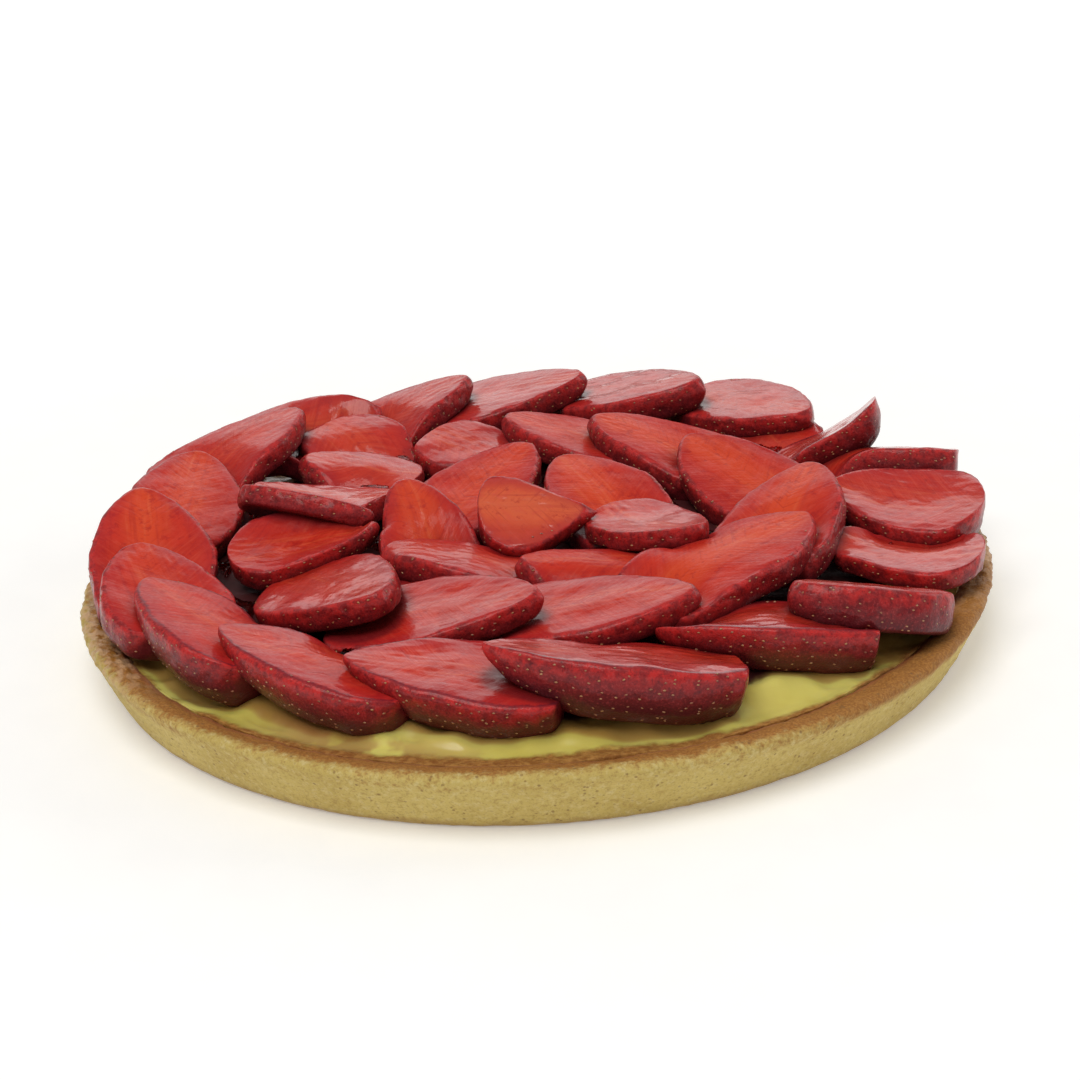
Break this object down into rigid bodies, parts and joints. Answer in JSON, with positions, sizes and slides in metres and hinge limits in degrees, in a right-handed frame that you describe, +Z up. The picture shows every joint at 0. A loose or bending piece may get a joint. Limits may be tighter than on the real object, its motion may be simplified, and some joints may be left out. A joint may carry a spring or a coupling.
{
  "type": "strawberry tart",
  "caption": "Round shortcrust tart filled with pale custard and covered with rings of overlapping glazed strawberry slices.",
  "frame": {"origin": "middle of the crust's flat base, on the surface that the tart stands on", "axes": "+Z up through the middle of the tart, -Y towards the front, where the widest stretch of custard shows, +X to the right"},
  "size_m": [0.2513, 0.2497, 0.0403],
  "materials": {
    "shortcrust": "baked shortcrust pastry, pale golden and fine grained, matt",
    "custard": "set pastry cream, pale yellow and glossy",
    "strawberry": "sliced strawberry under clear red glaze"
  },
  "bodies": {
    "root": {"crust": "shortcrust", "custard": "custard", "slice_inner_01": "strawberry", "slice_inner_02": "strawberry", "slice_inner_03": "strawberry", "slice_inner_04": "strawberry", "slice_inner_05": "strawberry", "slice_inner_06": "strawberry", "slice_inner_07": "strawberry", "slice_middle_01": "strawberry", "slice_middle_02": "strawberry", "slice_middle_03": "strawberry", "slice_middle_04": "strawberry", "slice_middle_05": "strawberry", "slice_middle_06": "strawberry", "slice_middle_07": "strawberry", "slice_middle_08": "strawberry", "slice_middle_09": "strawberry", "slice_middle_10": "strawberry", "slice_middle_11": "strawberry", "slice_middle_12": "strawberry", "slice_middle_13": "strawberry", "slice_middle_14": "strawberry", "slice_outer_01": "strawberry", "slice_outer_02": "strawberry", "slice_outer_03": "strawberry", "slice_outer_04": "strawberry", "slice_outer_05": "strawberry", "slice_outer_06": "strawberry", "slice_outer_07": "strawberry", "slice_outer_08": "strawberry", "slice_outer_09": "strawberry", "slice_outer_10": "strawberry", "slice_outer_11": "strawberry", "slice_outer_12": "strawberry", "slice_outer_13": "strawberry", "slice_outer_14": "strawberry", "slice_outer_15": "strawberry", "slice_outer_16": "strawberry", "slice_outer_17": "strawberry", "slice_outer_18": "strawberry", "slice_outer_19": "strawberry", "slice_outer_20": "strawberry"}
  },
  "joints": []
}
